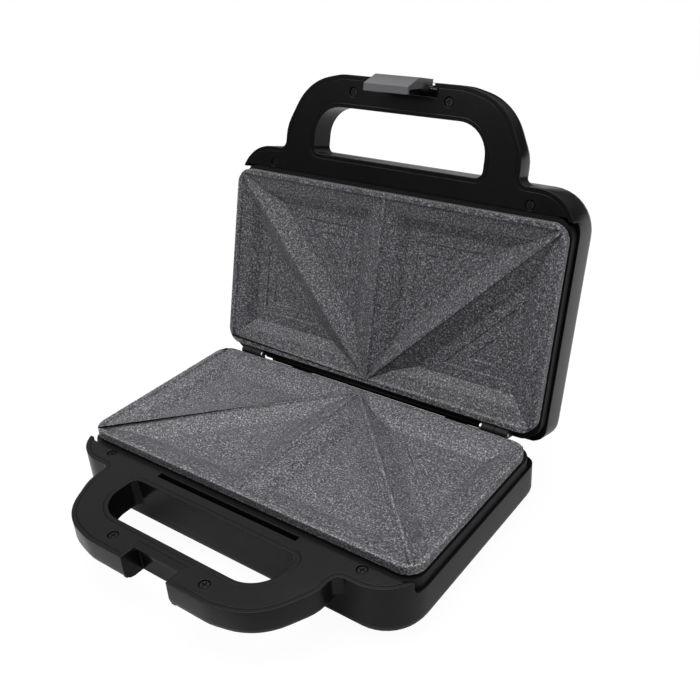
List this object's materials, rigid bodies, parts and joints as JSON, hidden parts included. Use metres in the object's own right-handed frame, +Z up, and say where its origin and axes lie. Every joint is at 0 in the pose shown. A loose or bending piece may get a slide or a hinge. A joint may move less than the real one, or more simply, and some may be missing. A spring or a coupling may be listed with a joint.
{
  "type": "sandwich toaster",
  "caption": "Countertop sandwich toaster with a hinged lid, loop handles, a front latch and deep triangular pockets in its facing cooking plates.",
  "frame": {"origin": "on the table, under the middle of the open toaster's bounding box", "axes": "+X to the right across the front, +Y to the rear (the hinge side), +Z up"},
  "size_m": [0.234, 0.2539, 0.2209],
  "materials": {
    "housing": "glossy black moulding",
    "deck": "satin black moulding",
    "liner": "matt black, heat proof",
    "plate": "die-cast, speckled stone-effect non-stick coating",
    "sheet": "plain rolled sheet",
    "screw": "blackened steel",
    "element": "oxidised tube",
    "clamp": "pressed sheet",
    "thermostat": "pressed cup",
    "ceramic": "cream insulating part",
    "inlet": "black",
    "feet": "dark grey",
    "lamp": "neon lamp",
    "red_lens": "clear red",
    "green_lens": "clear green",
    "pin": "bright wire",
    "latch": "silver-grey painted"
  },
  "bodies": {
    "base": {"base_shell": "housing", "base_deck": "deck", "base_liner": "liner", "base_plate": "plate", "base_reflector": "sheet", "base_deck_screws": "screw", "base_plate_screws": "screw", "base_clamp_screws": "screw", "base_heater": "element", "base_heater_clamps": "clamp", "fuse_clip": "clamp", "base_thermostat": "thermostat", "thermal_fuse": "ceramic", "terminal_block": "ceramic", "cord_inlet": "inlet", "feet": "feet", "hinge_pins": "pin"},
    "lid": {"lid_shell": "housing", "lid_deck": "deck", "lid_liner": "liner", "lid_plate": "plate", "lid_reflector": "sheet", "lid_deck_screws": "screw", "lid_plate_screws": "screw", "lid_clamp_screws": "screw", "lid_heater": "element", "lid_heater_clamps": "clamp", "lamp_holder": "ceramic", "indicator_lamps": "lamp", "power_lens": "red_lens", "ready_lens": "green_lens", "latch_pin": "pin"},
    "latch": {"latch": "latch"}
  },
  "joints": [
    {"name": "lid_hinge", "type": "hinge", "parent": "base", "child": "lid", "pos_m": [0, 0.05804, 0.0405], "axis": [1, 0, 0], "range_deg": [0, 105]},
    {"name": "latch_pivot", "type": "hinge", "parent": "lid", "child": "latch", "pos_m": [0, 0.1177, 0.21293], "axis": [1, 0, 0], "range_deg": [-12, 6.5]}
  ]
}
